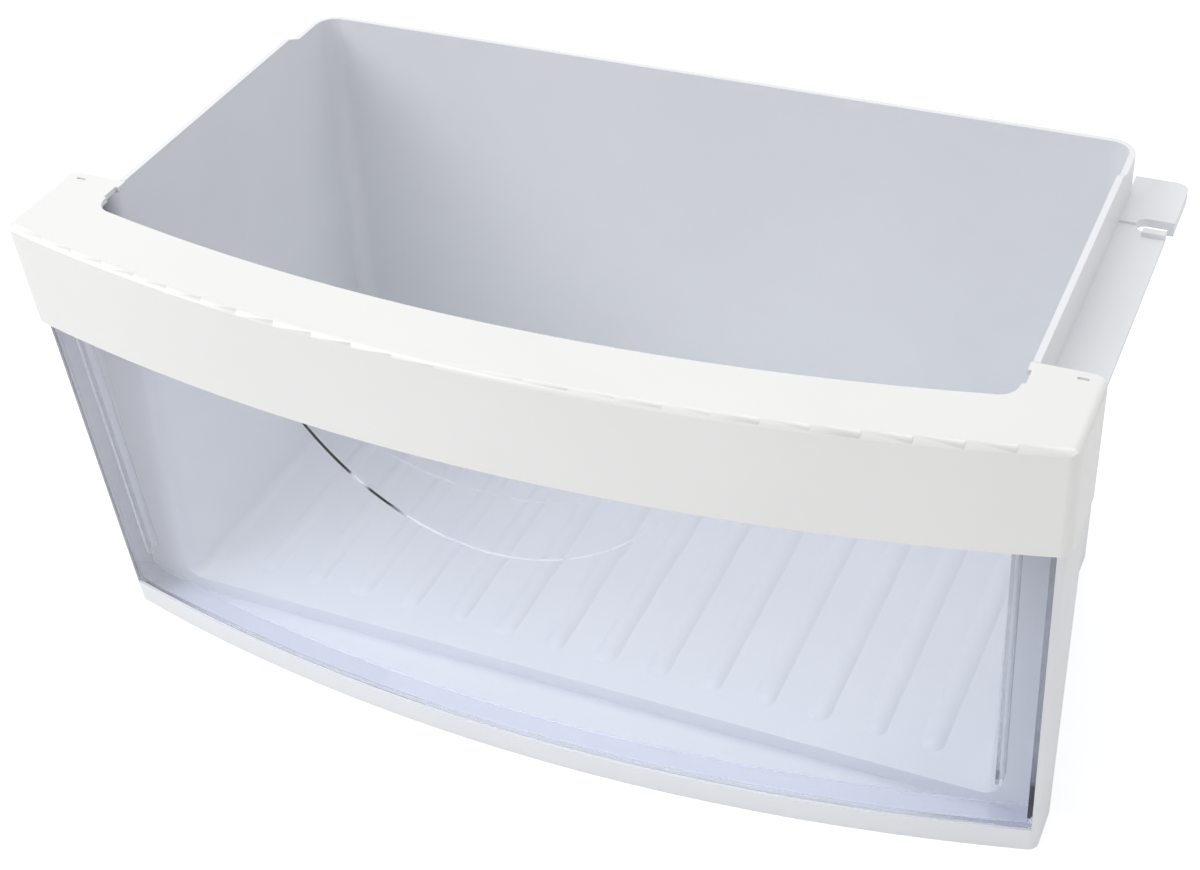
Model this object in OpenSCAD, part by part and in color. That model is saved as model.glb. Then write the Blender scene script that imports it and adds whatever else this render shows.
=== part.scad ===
// Fridge drawer: a moulded pan, a clear bowed front window and a white top trim that is the handle.
// Units are millimetres. The drawer stands on z = 0, its front faces -Y, and the origin is under its middle.

/* [Pan] */
// Outer width of the pan box
pan_w = 373; // [320:1:400]
// Outer depth of the pan box, from its open front to the outside of the back wall
pan_d = 172; // [140:1:260]
// Height of the side rims and of the trim's top face
drawer_h = 212; // [180:1:260]
// Thickness of the moulded walls
wall = 2.5; // [2:0.1:3]
// Outer radius of the two upright rear corners
rear_corner_r = 11; // [6:0.5:20]
// Height of the main floor's upper face
floor_h = 9; // [7.5:0.5:14]
// Radius where the floor turns up into the walls
floor_fillet_r = 5; // [2:0.5:7]
// How far the low back rim lies under the side rims
rim_drop = 3.4; // [1:0.1:8]
// Length of the low rim along each side, from the back wall's outside
low_rim_len = 26; // [20:1:40]
// Length of the slope between the low rim and the side rim
rim_slope_len = 8; // [3:0.5:14]
// Radius of the mouth where each side wall turns out to the front plate
mouth_r = 6; // [3:0.5:8]

/* [Floor ribs] */
// Distance from one floor rib to the next
rib_pitch = 24.1; // [18:0.1:36]
// Width of one floor rib
rib_w = 10; // [6:0.5:14]
// Height of one floor rib
rib_h = 1.6; // [0.8:0.1:2]
// Distance from the floor's front edge to the ribs' front ends
rib_front_gap = 14; // [8:1:30]
// Distance from the back wall to the ribs' rear ends
rib_rear_gap = 12; // [9:1:30]

/* [Front bay] */
// Depth of the bay between the trim's front face and the pan's open front
bay_d = 61; // [52:1:80]
// Radius of the bow of the front, seen from above
bow_r = 852; // [700:1:1200]
// Lean of the front, back from the trim to the sill
front_lean = 4.7; // [2:0.1:7]
// Height of the sill under the window
sill_h = 12; // [8:0.5:20]
// Thickness of the front ledge
ledge_t = 2; // [1.5:0.1:3]
// How far the front posts reach behind the front plate
post_tail = 6; // [4:0.5:8]
// Radius of the posts' and the trim's upright front corners
front_corner_r = 5; // [3:0.5:8]

/* [Slide rails] */
// Height of the rail flange's upper face
rail_h = 190; // [120:1:196]
// Width that the rail flange stands out from the side wall
rail_w = 19; // [12:0.5:20]
// Thickness of the rail flange
rail_t = 2.5; // [2:0.1:4]
// How far the rear hook tab reaches past the back wall
tab_over = 4; // [1:0.5:12]
// Length of the hook tab behind its slot
tab_len = 31; // [22:1:40]
// Extra width of the hook tab over the rail flange
tab_extra_w = 1.5; // [0.5:0.1:2]
// Thickness of the hook tab
tab_t = 3.5; // [2.5:0.1:5]
// Depth of the turned-down lip on the hook tab's outer edge
tab_lip = 6; // [5:0.5:12]
// Outer radius of the hook tab's rear corner
tab_corner_r = 5; // [3:0.5:8]
// Width of the hook slot
slot_w = 8; // [6:0.5:12]
// Length of the hook slot, in from the tab's outer edge
slot_len = 14; // [9:0.5:15]
// Height of the stop ridge in front of the slot
ridge_h = 2; // [1:0.1:4]
// Width of the stop ridge along the rail
ridge_w = 3.5; // [2:0.1:6]
// Length of the stop ridge across the rail
ridge_len = 9; // [5:0.5:11]

/* [Window] */
// Thickness of the clear panel and its lips
window_t = 2.4; // [1.8:0.1:3]
// Depth of the lips round the clear panel
window_lip = 12; // [8:0.5:15]
// How far the panel's face lies behind the posts' front edges
window_set_back = 1; // [0.5:0.1:2]
// Distance from the panel's top edge down from the trim's top face
window_top_gap = 7; // [5:0.5:10]
// Depth of the snap ribs behind the panel
snap_rib_d = 9; // [6:0.5:12]
// Distance from the panel's side edge to the snap rib
snap_rib_in = 15; // [12:0.5:18]
// Height of the snap ribs' lower ends
snap_rib_foot = 36; // [30:1:60]

/* [Finger scoop] */
// Height of the scoop's centre above the floor
scoop_h = 247; // [238:1:262]
// Radius of the scoop's outer edge on the panel
scoop_r = 129; // [118:1:130]
// Width of the shallow band round the scoop
scoop_band = 10; // [6:0.5:16]
// Slope of the shallow band, in degrees
scoop_band_slope = 14; // [8:1:20]
// Gap between the back of the scoop and the trim's lip
scoop_gap = 1.2; // [0.8:0.1:4]

/* [Trim] */
// Overall width of the trim
trim_w = 421; // [370:1:450]
// Thickness of the trim
trim_t = 2; // [1.6:0.1:3]
// Height of the trim's front band
band_h = 47.5; // [40:0.5:60]
// Width of the trim's flat top at the front
top_w = 28.7; // [25:0.1:36]
// How far the trim's side arms reach behind the pan's open front
arm_len = 9; // [7:0.5:16]
// Radius of the trim's top outer edge
edge_r = 3; // [1:0.5:4]
// Radius of the opening's front corners
opening_corner_r = 8; // [4:0.5:12]
// Radius of the arms' rear outer corners
arm_corner_r = 6; // [3:0.5:8]
// Depth of the stiffening lip under the opening's front edge
trim_lip = 5; // [3:0.5:6]
// Length of the snap notch in each arm's inner edge
notch_len = 8; // [5:0.5:10]
// Depth of the snap notch
notch_d = 1.4; // [0.8:0.1:2]

/* [Fits] */
// Clearance between pieces that seat on each other
fit = 0.2; // [0.1:0.05:0.4]

/* [Hidden] */

// Fineness of small round shapes and of the wide bow
$fn = 48;
bow_fn = 720;
// Small overlap that makes cuts clean
cut = 1;
white = [0.95, 0.95, 0.95];
clear = [0.80, 0.86, 0.95, 0.45];

// Places along Y, from the front to the back
total_d = bay_d + pan_d + tab_over;
front_y = -total_d / 2;
box_y = front_y + bay_d;
back_y = box_y + pan_d;
arm_y = box_y + arm_len;
bow_y = front_y + bow_r;
lean_run = drawer_h * tan(front_lean);
slope_y = back_y - low_rim_len;

// Widths and heights that pieces share
pan_in_w = pan_w - 2 * wall;
post_w = trim_w - 2 * trim_t - 2 * fit;
window_w = post_w - 2 * wall - 2 * fit;
opening_w = pan_in_w - 1;
seat_h = drawer_h - trim_t - fit;
band_z = drawer_h - band_h;
foot_in = floor_h - wall;
post_inset = trim_t + fit;
window_inset = post_inset + window_set_back;
window_z = sill_h + fit;
window_top = drawer_h - window_top_gap;
rail_out = pan_w / 2 + rail_w;
tab_out = rail_out + tab_extra_w;
tab_y = back_y + tab_over;
slot_y = tab_y - tab_len - slot_w / 2;

// The solid behind the bowed and leaning front face, moved back by inset
module behind_front(inset) {
    translate([0, bow_y, 0])
        cylinder(h = drawer_h, r1 = bow_r - lean_run - inset, r2 = bow_r - inset, $fn = bow_fn);
}

// A block with its middle on x = 0, from y0 to y1 and from z0 to z1
module block(w, y0, y1, z0, z1) {
    translate([-w / 2, y0, z0])
        cube([w, y1 - y0, z1 - z0]);
}

// The same shape on both sides
module both_sides() {
    children();
    mirror([1, 0, 0])
        children();
}

// The stock outside a rounded upright corner of the leaning front, for one side
module corner_stock(w, inset, r) {
    reach = bow_r - inset - r;
    cx = w / 2 - r;
    swing = asin(cx / reach);
    far = 3 * r;
    translate([cx, bow_y - reach * cos(swing), drawer_h])
        rotate([atan(tan(front_lean) / cos(swing)), 0, 0])
            translate([0, 0, -drawer_h - 2 * far])
                linear_extrude(drawer_h + 4 * far)
                    difference() {
                        polygon([
                            [0, 0],
                            [far * sin(swing), -far * cos(swing)],
                            [far, -far],
                            [far, 0]
                        ]);
                        circle(r);
                    }
}

// One concave fillet bar along X, with its square corner on the origin
module fillet_bar(r, length) {
    rotate([90, 0, 90])
        linear_extrude(length)
            difference() {
                translate([-cut, -cut])
                    square(r + cut);
                translate([r, r])
                    circle(r);
            }
}

// Plan of the pan box, square at its open front and round at its rear corners
module pan_plan(w, y1, r) {
    translate([-w / 2, box_y])
        square([w, y1 - r - box_y]);
    translate([-w / 2 + r, box_y])
        square([w - 2 * r, y1 - box_y]);
    for (side = [-1, 1])
        translate([side * (w / 2 - r), y1 - r])
            circle(r);
}

// The concave curve that joins the floor to the side walls, the back wall and the rear corners
module floor_fillets() {
    r = floor_fillet_r;
    corner_r = rear_corner_r - wall;
    side_len = pan_d - mouth_r - wall - corner_r;
    both_sides() {
        translate([pan_in_w / 2, box_y + mouth_r, floor_h])
            rotate([0, 0, 90])
                fillet_bar(r, side_len);
        intersection() {
            translate([pan_in_w / 2 + mouth_r, box_y + mouth_r, floor_h])
                rotate([0, 0, 180])
                    rotate_extrude(angle = 90)
                        difference() {
                            translate([mouth_r - cut, -cut])
                                square(r + cut);
                            translate([mouth_r + r, r])
                                circle(r);
                        }
            block(post_w, box_y, box_y + mouth_r, 0, drawer_h);
        }
        translate([pan_in_w / 2 - corner_r, back_y - wall - corner_r, floor_h])
            rotate_extrude(angle = 90)
                intersection() {
                    difference() {
                        translate([corner_r - r, -cut])
                            square(r + cut);
                        translate([corner_r - r, r])
                            circle(r);
                    }
                    translate([0, -cut])
                        square([corner_r + cut, r + cut]);
                }
    }
    translate([pan_in_w / 2 - corner_r, back_y - wall, floor_h])
        rotate([0, 0, 180])
            fillet_bar(r, pan_in_w - 2 * corner_r);
}

// One floor rib: a shallow round-backed bar with domed ends
module floor_rib() {
    r = (rib_w * rib_w / 4 + rib_h * rib_h) / (2 * rib_h);
    start = box_y + rib_front_gap + rib_w / 2;
    stop = back_y - wall - rib_rear_gap - rib_w / 2;
    translate([0, start, floor_h + rib_h - r])
        rotate([-90, 0, 0])
            rotate_extrude()
                intersection() {
                    union() {
                        circle(r);
                        square([r, stop - start]);
                        translate([0, stop - start])
                            circle(r);
                    }
                    translate([0, -r])
                        square([r, stop - start + 2 * r]);
                }
}

module floor_ribs() {
    room = pan_in_w / 2 - floor_fillet_r - rib_w / 2;
    pairs = floor((room - rib_pitch / 2) / rib_pitch) + 1;
    intersection() {
        for (i = [0 : pairs - 1], side = [-1, 1])
            translate([side * rib_pitch * (i + 0.5), 0, 0])
                floor_rib();
        block(pan_in_w, box_y, back_y, floor_h - wall / 2, floor_h + rib_h + cut);
    }
}

// The pan box: one wall thickness all round, on a foot that is its walls' lower edge
module pan_box() {
    difference() {
        linear_extrude(drawer_h)
            pan_plan(pan_w, back_y, rear_corner_r);
        translate([0, 0, floor_h])
            linear_extrude(drawer_h)
                pan_plan(pan_in_w, back_y - wall, rear_corner_r - wall);
        translate([0, wall, -cut])
            linear_extrude(foot_in + cut)
                pan_plan(pan_in_w, back_y - 2 * wall, rear_corner_r - wall);
        block(pan_in_w, box_y - cut, box_y + cut, floor_h, drawer_h + cut);
        rim_cut();
        block(pan_w + cut, box_y - cut, arm_y + fit, seat_h, drawer_h + cut);
    }
}

// The stock above the low back rim and its two slopes
module rim_cut() {
    translate([-pan_w, 0, 0])
        rotate([90, 0, 90])
            linear_extrude(2 * pan_w)
                polygon([
                    [slope_y - rim_slope_len, drawer_h],
                    [slope_y, drawer_h - rim_drop],
                    [tab_y + cut, drawer_h - rim_drop],
                    [tab_y + cut, drawer_h + cut],
                    [slope_y - rim_slope_len, drawer_h + cut]
                ]);
}

// The front tray: ledge, sill, posts and the plates beside the pan's mouth
module front_tray() {
    difference() {
        intersection() {
            behind_front(post_inset);
            block(post_w, front_y, box_y + post_tail, 0, seat_h);
        }
        intersection() {
            behind_front(post_inset + wall);
            block(post_w - 2 * wall, front_y, box_y, ledge_t, drawer_h);
        }
        block(post_w - 2 * wall, front_y - cut, box_y - wall, sill_h, drawer_h);
        block(post_w - 2 * wall, box_y + wall, box_y + 2 * post_tail, -cut, drawer_h);
        block(pan_in_w, box_y - cut, box_y + wall + cut, floor_h, drawer_h);
        both_sides()
            corner_stock(post_w, post_inset, front_corner_r);
    }
}

// The round turn from a side wall into the front plate, as stock to cut and stock to add
module mouth_curve() {
    both_sides()
        translate([pan_in_w / 2, box_y, floor_h])
            linear_extrude(drawer_h)
                difference() {
                    translate([-cut, -cut])
                        square(mouth_r + cut);
                    translate([mouth_r, mouth_r])
                        circle(mouth_r);
                }
}

module mouth_backing() {
    r = mouth_r - wall;
    both_sides()
        translate([pan_w / 2, box_y + wall, 0])
            linear_extrude(seat_h)
                difference() {
                    translate([-cut, -cut])
                        square(r + cut);
                    translate([r, r])
                        circle(r);
                }
}

// The slide rail on one side wall, with its hook tab, slot and stop ridge
module rail_side() {
    root = pan_w / 2 - cut;
    tab_front = slot_y + slot_w / 2;
    difference() {
        union() {
            translate([root, box_y + wall, rail_h - rail_t])
                cube([rail_out - root, slot_y - box_y - wall, rail_t]);
            translate([0, 0, rail_h + 1 - tab_t])
                linear_extrude(tab_t)
                    tab_plan(root, slot_y);
            intersection() {
                translate([0, 0, rail_h + 1 - tab_lip])
                    linear_extrude(tab_lip)
                        difference() {
                            tab_plan(root, tab_front);
                            offset_tab(root);
                        }
                translate([root, tab_front, 0])
                    cube([tab_out, tab_y, drawer_h]);
            }
            translate([rail_out - ridge_len, slot_y - slot_w / 2 - ridge_w, rail_h - rail_t])
                cube([ridge_len, ridge_w, rail_t + ridge_h]);
        }
        hook_slot();
    }
}

// Plan of the hook tab, square at its inner side and round at its rear outer corner
module tab_plan(x0, y0) {
    translate([x0, y0])
        square([tab_out - x0, tab_y - tab_corner_r - y0]);
    translate([x0, y0])
        square([tab_out - tab_corner_r - x0, tab_y - y0]);
    translate([tab_out - tab_corner_r, tab_y - tab_corner_r])
        circle(tab_corner_r);
}

// Plan of what the turned-down lip goes round
module offset_tab(x0) {
    r = tab_corner_r - wall;
    translate([x0 - cut, slot_y - cut])
        square([tab_out - wall - x0 + cut, tab_y - wall - r - slot_y + cut]);
    translate([x0 - cut, slot_y - cut])
        square([tab_out - wall - r - x0 + cut, tab_y - wall - slot_y + cut]);
    translate([tab_out - wall - r, tab_y - wall - r])
        circle(r);
}

// The slot that opens outward, with a round inner end
module hook_slot() {
    inner_x = tab_out - slot_len + slot_w / 2;
    translate([0, 0, rail_h - 2 * tab_t])
        linear_extrude(4 * tab_t) {
            translate([inner_x, slot_y])
                circle(d = slot_w);
            translate([inner_x, slot_y - slot_w / 2])
                square([slot_len, slot_w]);
        }
}

// The white moulded pan
module tub() {
    color(white) {
        difference() {
            union() {
                pan_box();
                front_tray();
                mouth_backing();
            }
            mouth_curve();
        }
        floor_fillets();
        floor_ribs();
        both_sides()
            rail_side();
    }
}

// A ball that meets the leaning panel in a circle, its centre at the distance out, its surface moved back by grow
module scoop_ball(edge, out, grow) {
    face_y = front_y + window_inset + (drawer_h - scoop_h) * tan(front_lean);
    translate([0, face_y, scoop_h])
        rotate([front_lean, 0, 0])
            translate([0, -out, 0])
                sphere(sqrt(edge * edge + out * out) + grow, $fn = 180);
}

// The finger scoop as a solid: a shallow band round a deep dish that stops short of the trim's lip
module scoop(grow) {
    dish_edge = scoop_r - scoop_band;
    rise = scoop_h - window_top;
    depth = top_w - trim_t - window_inset - window_t - scoop_gap;
    scoop_ball(scoop_r, scoop_r / tan(scoop_band_slope), grow);
    scoop_ball(dish_edge, (dish_edge * dish_edge - rise * rise - depth * depth) / (2 * depth), grow);
}

// The clear bowed front panel with its lips, snap ribs and finger scoop
module window() {
    rib_x = window_w / 2 - snap_rib_in;
    color(clear)
        difference() {
            union() {
                difference() {
                    intersection() {
                        behind_front(window_inset);
                        block(window_w, front_y, box_y - wall, window_z, window_top);
                    }
                    behind_front(window_inset + window_lip);
                    intersection() {
                        behind_front(window_inset + window_t);
                        block(window_w - 2 * window_t, front_y, box_y, window_z + window_t, drawer_h);
                    }
                }
                both_sides()
                    difference() {
                        intersection() {
                            behind_front(window_inset + window_t / 2);
                            translate([rib_x, front_y, snap_rib_foot])
                                cube([window_t, bay_d, window_top - snap_rib_foot]);
                        }
                        behind_front(window_inset + snap_rib_d);
                    }
                intersection() {
                    scoop(window_t);
                    behind_front(window_inset + window_t / 2);
                    block(window_w, front_y, box_y, window_z, window_top);
                }
            }
            intersection() {
                scoop(0);
                block(window_w, front_y - cut, box_y, window_z, drawer_h + cut);
            }
        }
}

// The trim's outer form: bowed and leaning front, straight sides, round edges
module trim_form() {
    difference() {
        intersection() {
            behind_front(0);
            block(trim_w, front_y, arm_y, band_z, drawer_h);
        }
        front_edge_stock();
        both_sides() {
            corner_stock(trim_w, 0, front_corner_r);
            side_edge_stock();
            arm_corner_stock();
        }
    }
}

// Stock outside the round top edge along the bow
module front_edge_stock() {
    translate([0, bow_y, drawer_h])
        rotate_extrude($fn = bow_fn)
            difference() {
                translate([bow_r - edge_r, -edge_r])
                    square(edge_r + cut);
                translate([bow_r - edge_r, -edge_r])
                    circle(edge_r);
            }
}

// Stock outside the round top edge along one side
module side_edge_stock() {
    translate([trim_w / 2 - edge_r, front_y - cut, drawer_h - edge_r])
        rotate([-90, 0, 0])
            linear_extrude(bay_d + arm_len + 2 * cut)
                difference() {
                    translate([0, -edge_r - cut])
                        square(edge_r + cut);
                    circle(edge_r);
                }
}

// Stock outside one arm's round rear corner
module arm_corner_stock() {
    translate([trim_w / 2 - arm_corner_r, arm_y - arm_corner_r, band_z - cut])
        linear_extrude(band_h + 2 * cut)
            difference() {
                square(arm_corner_r + cut);
                circle(arm_corner_r);
            }
}

// Plan of the opening over the pan, with round front corners
module opening_plan() {
    r = opening_corner_r;
    reach = bow_r - top_w - r;
    cx = opening_w / 2 - r;
    swing = asin(cx / reach);
    cy = bow_y - reach * cos(swing);
    translate([-opening_w / 2, cy])
        square([opening_w, arm_y + cut - cy]);
    for (side = [-1, 1])
        translate([side * cx, cy])
            circle(r);
    intersection() {
        translate([0, bow_y])
            circle(bow_r - top_w, $fn = bow_fn);
        polygon([
            [0, bow_y],
            [-reach * tan(swing) * 1.1, bow_y - reach * 1.1],
            [reach * tan(swing) * 1.1, bow_y - reach * 1.1]
        ]);
        translate([-opening_w / 2, front_y])
            square([opening_w, bay_d]);
    }
}

// The stiffening lip under the opening's front edge
module opening_lip() {
    reach = bow_r - top_w;
    intersection() {
        translate([0, bow_y, drawer_h - trim_t - trim_lip])
            difference() {
                cylinder(h = trim_lip + trim_t / 2, r = reach + trim_t, $fn = bow_fn);
                translate([0, 0, -cut])
                    cylinder(h = 2 * drawer_h, r = reach, $fn = bow_fn);
            }
        block(opening_w - 2 * opening_corner_r, front_y, box_y, band_z, drawer_h);
    }
}

// The white top trim, bowed front band, flat top and two side arms in one moulding
module bezel() {
    slot_x = trim_w / 2 - 8.5;
    color(white)
        difference() {
            union() {
                difference() {
                    trim_form();
                    intersection() {
                        behind_front(trim_t);
                        block(trim_w - 2 * trim_t, front_y, arm_y + cut, 0, drawer_h - trim_t);
                    }
                }
                opening_lip();
            }
            translate([0, 0, drawer_h - 2 * trim_t])
                linear_extrude(3 * trim_t)
                    opening_plan();
            both_sides() {
                translate([opening_w / 2 - cut, box_y - notch_len / 2, drawer_h - 2 * trim_t])
                    cube([notch_d + cut, notch_len, 3 * trim_t]);
                translate([slot_x - 2, arm_y - 4.6, drawer_h - 2 * trim_t])
                    cube([4, 1.2, 3 * trim_t]);
            }
        }
}

tub();
window();
bezel();
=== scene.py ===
import math

import bmesh
import bpy
from mathutils import Matrix, Vector

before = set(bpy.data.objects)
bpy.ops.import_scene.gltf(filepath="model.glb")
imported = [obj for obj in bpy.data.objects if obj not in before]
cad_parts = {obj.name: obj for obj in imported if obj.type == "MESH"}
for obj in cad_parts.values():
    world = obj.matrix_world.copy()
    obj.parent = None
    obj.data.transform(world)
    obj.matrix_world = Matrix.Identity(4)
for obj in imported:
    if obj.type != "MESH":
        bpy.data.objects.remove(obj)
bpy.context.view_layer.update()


# The pan: one deep injection moulding in white high-impact polystyrene, with its floor ribs,
# front tray and slide rails. A polished mould leaves it glossy, with the faint ripple that
# thin moulded walls have.

polystyrene_ior = 1.59
pan_tone = "#F1F3F6"
pan_shade = "#EDEFF3"
pan_roughness = 0.30


def linear(hex_code):
    parts = [int(hex_code[i:i + 2], 16) / 255 for i in (1, 3, 5)]
    return tuple(c / 12.92 if c <= 0.04045 else ((c + 0.055) / 1.055) ** 2.4 for c in parts)


def add_node(tree, kind, links=(), **settings):
    node = tree.nodes.new(kind)
    for name, value in settings.items():
        if name in node.inputs:
            node.inputs[name].default_value = value
        else:
            setattr(node, name, value)
    for socket, source in dict(links).items():
        tree.links.new(source, node.inputs[socket])
    return node


# Gloss white polystyrene: a smooth bright skin with a broad soft gloss. Cooling leaves a slow
# ripple, and the mould a very fine orange peel, drawn a little coarser than life so that it
# shows. Sizes and heights are in metres.
def white_polystyrene(name, tone, shade, roughness):
    ripple_size = 0.035
    ripple_height = 0.002
    peel_size = 0.0012
    peel_height = 0.0003
    cloud_size = 0.09
    cloud_low, cloud_high = 0.3, 0.7
    gloss_below, gloss_above = 0.03, 0.04

    material = bpy.data.materials.new(name)
    material.use_nodes = True
    tree = material.node_tree
    tree.nodes.clear()
    place = add_node(tree, "ShaderNodeTexCoord")
    ripple = add_node(tree, "ShaderNodeTexNoise", {"Vector": place.outputs["Object"]},
                      Scale=1 / ripple_size, Detail=2.0, Roughness=0.5)
    peel = add_node(tree, "ShaderNodeTexNoise", {"Vector": place.outputs["Object"]},
                    Scale=1 / peel_size, Detail=1.0, Roughness=0.5)
    cloud = add_node(tree, "ShaderNodeTexNoise", {"Vector": place.outputs["Object"]},
                     Scale=1 / cloud_size, Detail=3.0, Roughness=0.6)
    skin = add_node(tree, "ShaderNodeValToRGB", {"Fac": cloud.outputs["Fac"]})
    low, high = skin.color_ramp.elements
    low.position, low.color = cloud_low, (*linear(shade), 1)
    high.position, high.color = cloud_high, (*linear(tone), 1)
    gloss = add_node(tree, "ShaderNodeMapRange", {"Value": ripple.outputs["Fac"]},
                     **{"To Min": roughness - gloss_below, "To Max": roughness + gloss_above})
    slow = add_node(tree, "ShaderNodeBump", {"Height": ripple.outputs["Fac"]},
                    Strength=0.05, Distance=ripple_height)
    fine = add_node(tree, "ShaderNodeBump", {
        "Height": peel.outputs["Fac"],
        "Normal": slow.outputs["Normal"],
    }, Strength=0.02, Distance=peel_height)
    body = add_node(tree, "ShaderNodeBsdfPrincipled", {
        "Base Color": skin.outputs["Color"],
        "Roughness": gloss.outputs["Result"],
        "Normal": fine.outputs["Normal"],
    }, IOR=polystyrene_ior)
    add_node(tree, "ShaderNodeOutputMaterial", {"Surface": body.outputs["BSDF"]})
    return material


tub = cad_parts["tub"]
tub.data.materials.clear()
tub.data.materials.append(
    white_polystyrene("polystyrene_pan_white", pan_tone, pan_shade, pan_roughness))


# The window: a bowed panel moulded in clear general-purpose polystyrene, with a lip all round
# and the finger scoop pressed into its top. It snaps in behind the trim and stands on the
# pan's sill.

window_tint = "#F3F5FC"


# Clear polystyrene: polished and nearly colourless, with a slow flow wave from the mould and a
# slight cool cast. Light passes it without a dark shadow. Sizes and heights are in metres.
def clear_polystyrene(name, tint):
    flow_size = 0.03
    flow_height = 0.001

    material = bpy.data.materials.new(name)
    material.use_nodes = True
    tree = material.node_tree
    tree.nodes.clear()
    place = add_node(tree, "ShaderNodeTexCoord")
    flow = add_node(tree, "ShaderNodeTexNoise", {"Vector": place.outputs["Object"]},
                    Scale=1 / flow_size, Detail=2.0, Roughness=0.5)
    wave = add_node(tree, "ShaderNodeBump", {"Height": flow.outputs["Fac"]},
                    Strength=0.06, Distance=flow_height)
    body = add_node(tree, "ShaderNodeBsdfPrincipled", {"Normal": wave.outputs["Normal"]},
                    IOR=polystyrene_ior, Roughness=0.03)
    body.inputs["Base Color"].default_value = (*linear(tint), 1)
    body.inputs["Transmission Weight"].default_value = 1.0
    through = add_node(tree, "ShaderNodeBsdfTransparent", Color=(*linear(tint), 1))
    ray = add_node(tree, "ShaderNodeLightPath")
    mixed = add_node(tree, "ShaderNodeMixShader", {"Fac": ray.outputs["Is Shadow Ray"]})
    tree.links.new(body.outputs["BSDF"], mixed.inputs[1])
    tree.links.new(through.outputs["BSDF"], mixed.inputs[2])
    add_node(tree, "ShaderNodeOutputMaterial", {"Surface": mixed.outputs["Shader"]})
    return material


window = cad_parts["window"]
window.data.materials.clear()
window.data.materials.append(clear_polystyrene("polystyrene_window_clear", window_tint))


# The trim: the bowed top rail that is also the handle, moulded in the same white polystyrene
# with a slightly higher polish. Its two short arms snap over the pan's side walls.

trim_tone = "#F4F4F3"
trim_shade = "#F1F1F0"
trim_roughness = 0.24

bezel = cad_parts["bezel"]
bezel.data.materials.clear()
bezel.data.materials.append(
    white_polystyrene("polystyrene_trim_white", trim_tone, trim_shade, trim_roughness))


# The table and the room: a plain pale sheet that runs out of sight under white light, so that
# the drawer stands on white with a soft shadow at its foot.

table_reach = 6.0
table_glow = 0.35
room_light = 0.55
room_seen = 1.0

sheet_data = bpy.data.meshes.new("table")
sheet_mesh = bmesh.new()
bmesh.ops.create_grid(sheet_mesh, x_segments=8, y_segments=8, size=table_reach)
sheet_mesh.to_mesh(sheet_data)
sheet_mesh.free()
table = bpy.data.objects.new("table", sheet_data)
bpy.context.collection.objects.link(table)
table_paint = bpy.data.materials.new("matt_white_board")
table_paint.use_nodes = True
paint_tree = table_paint.node_tree
paint = paint_tree.nodes["Principled BSDF"]
paint.inputs["Base Color"].default_value = (*linear("#FFFFFF"), 1)
paint.inputs["Roughness"].default_value = 0.9
paint.inputs["Specular IOR Level"].default_value = 0.1
paint.inputs["Emission Color"].default_value = (1, 1, 1, 1)
table_ray = add_node(paint_tree, "ShaderNodeLightPath")
glow = add_node(paint_tree, "ShaderNodeMath", {0: table_ray.outputs["Is Camera Ray"]},
                operation="MULTIPLY")
glow.inputs[1].default_value = table_glow
paint_tree.links.new(glow.outputs["Value"], paint.inputs["Emission Strength"])
sheet_data.materials.append(table_paint)

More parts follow.
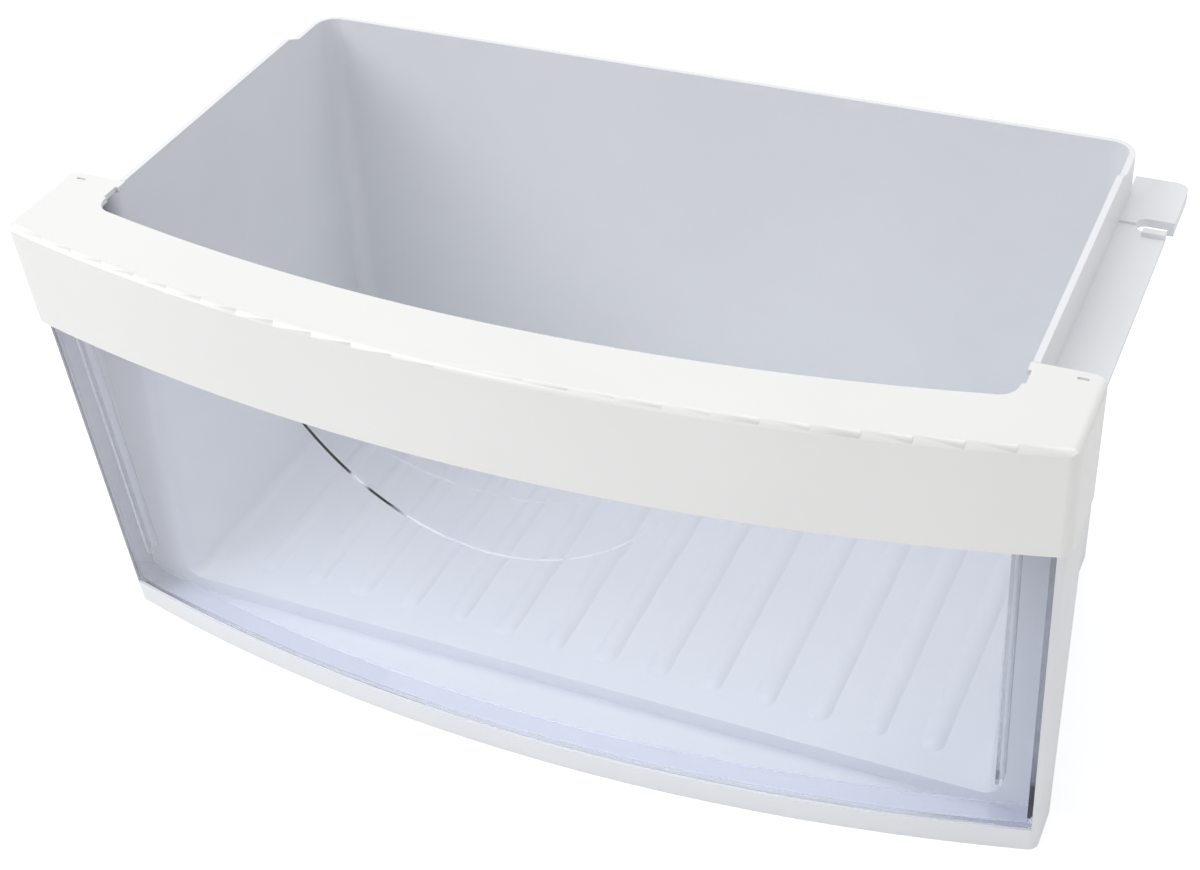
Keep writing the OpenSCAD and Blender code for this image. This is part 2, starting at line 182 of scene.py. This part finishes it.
world = bpy.data.worlds.new("studio")
bpy.context.scene.world = world
world.use_nodes = True
sky = world.node_tree
sky.nodes.clear()
sky_ray = add_node(sky, "ShaderNodeLightPath")
sky_seen = add_node(sky, "ShaderNodeMath", {
    0: sky_ray.outputs["Is Camera Ray"], 1: sky_ray.outputs["Is Glossy Ray"],
}, operation="MAXIMUM")
sky_all = add_node(sky, "ShaderNodeMath", {
    0: sky_seen.outputs["Value"], 1: sky_ray.outputs["Is Transmission Ray"],
}, operation="MAXIMUM")
sky_dim = add_node(sky, "ShaderNodeBackground", Color=(1, 1, 1, 1), Strength=room_light)
sky_white = add_node(sky, "ShaderNodeBackground", Color=(1, 1, 1, 1), Strength=room_seen)
sky_mix = add_node(sky, "ShaderNodeMixShader", {"Fac": sky_all.outputs["Value"]})
sky.links.new(sky_dim.outputs["Background"], sky_mix.inputs[1])
sky.links.new(sky_white.outputs["Background"], sky_mix.inputs[2])
add_node(sky, "ShaderNodeOutputWorld", {"Surface": sky_mix.outputs["Shader"]})


# The lamps: a wide soft box high on the left front and a weaker one overhead, a little
# behind, as on a product table. Places and sizes are in metres, powers in watts.

lamp_aim = (0, 0, 0.1)


def soft_box(name, place, size, power):
    data = bpy.data.lights.new(name, "AREA")
    data.shape = "RECTANGLE"
    data.size, data.size_y = size
    data.energy = power
    lamp = bpy.data.objects.new(name, data)
    bpy.context.collection.objects.link(lamp)
    lamp.location = place
    lamp.rotation_euler = (Vector(lamp_aim) - Vector(place)).to_track_quat("-Z", "Y").to_euler()


soft_box("key_box", place=(-1.1, -0.9, 1.5), size=(1.2, 1.2), power=14)
soft_box("top_box", place=(0.1, 0.5, 1.9), size=(1.6, 1.2), power=9)


# The camera stands to the right front and looks down at the drawer, with a slight tilt to one
# side. Angles are in radians, the place in metres, the lens and sensor in millimetres.

turn, down, roll = -0.4543, 0.6581, -0.0655
camera_place = (0.2920, -0.60515, 0.6162)

ahead = Vector((math.sin(turn) * math.cos(down), math.cos(turn) * math.cos(down), -math.sin(down)))
level = Vector((math.cos(turn), -math.sin(turn), 0))
lift = level.cross(ahead)
right = math.cos(roll) * level + math.sin(roll) * lift
above = -math.sin(roll) * level + math.cos(roll) * lift
lens = bpy.data.cameras.new("camera")
lens.sensor_fit = "HORIZONTAL"
lens.sensor_width = 36.0
lens.lens = 60.56
lens.clip_start = 0.01
camera = bpy.data.objects.new("camera", lens)
bpy.context.collection.objects.link(camera)
pose = Matrix((right, above, -ahead)).transposed().to_4x4()
pose.translation = Vector(camera_place)
camera.matrix_world = pose
bpy.context.scene.camera = camera
bpy.context.scene.view_settings.view_transform = "Standard"
